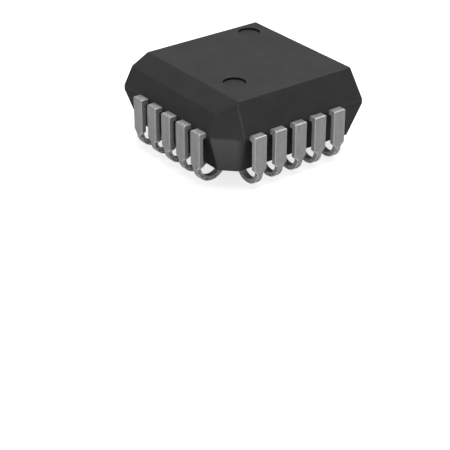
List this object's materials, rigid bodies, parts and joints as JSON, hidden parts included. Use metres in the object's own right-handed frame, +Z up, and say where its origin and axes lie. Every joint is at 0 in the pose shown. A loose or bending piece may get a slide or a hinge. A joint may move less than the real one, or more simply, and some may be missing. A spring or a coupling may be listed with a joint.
{
  "type": "plcc chip",
  "caption": "Square plastic leaded chip carrier, an integrated circuit package with J-shaped leads curled under its body on every side.",
  "frame": {"origin": "centre of the square footprint on the seating plane, at the lowest point of the curled leads", "axes": "+Z up through the flat top face; the bevelled side, with the first lead in its middle, faces -Y, and the index corner is at +X, -Y"},
  "size_m": [0.0098, 0.0098, 0.0046],
  "materials": {
    "moulding_compound": "matt charcoal, finely spark-eroded",
    "tinned_leads": "satin tin plate over copper alloy",
    "copper_frame": "bare copper alloy",
    "silver_epoxy": "cured silver-filled epoxy",
    "silicon": "polished silicon",
    "gold_wire": "bright gold"
  },
  "bodies": {
    "root": {"package_body": "moulding_compound", "lead_01": "tinned_leads", "lead_02": "tinned_leads", "lead_03": "tinned_leads", "lead_04": "tinned_leads", "lead_05": "tinned_leads", "lead_06": "tinned_leads", "lead_07": "tinned_leads", "lead_08": "tinned_leads", "lead_09": "tinned_leads", "lead_10": "tinned_leads", "lead_11": "tinned_leads", "lead_12": "tinned_leads", "lead_13": "tinned_leads", "lead_14": "tinned_leads", "lead_15": "tinned_leads", "lead_16": "tinned_leads", "lead_17": "tinned_leads", "lead_18": "tinned_leads", "lead_19": "tinned_leads", "lead_20": "tinned_leads", "die_paddle": "copper_frame", "die_attach": "silver_epoxy", "silicon_die": "silicon", "bond_wire_01": "gold_wire", "bond_wire_02": "gold_wire", "bond_wire_03": "gold_wire", "bond_wire_04": "gold_wire", "bond_wire_05": "gold_wire", "bond_wire_06": "gold_wire", "bond_wire_07": "gold_wire", "bond_wire_08": "gold_wire", "bond_wire_09": "gold_wire", "bond_wire_10": "gold_wire", "bond_wire_11": "gold_wire", "bond_wire_12": "gold_wire", "bond_wire_13": "gold_wire", "bond_wire_14": "gold_wire", "bond_wire_15": "gold_wire", "bond_wire_16": "gold_wire", "bond_wire_17": "gold_wire", "bond_wire_18": "gold_wire", "bond_wire_19": "gold_wire", "bond_wire_20": "gold_wire"}
  },
  "joints": []
}
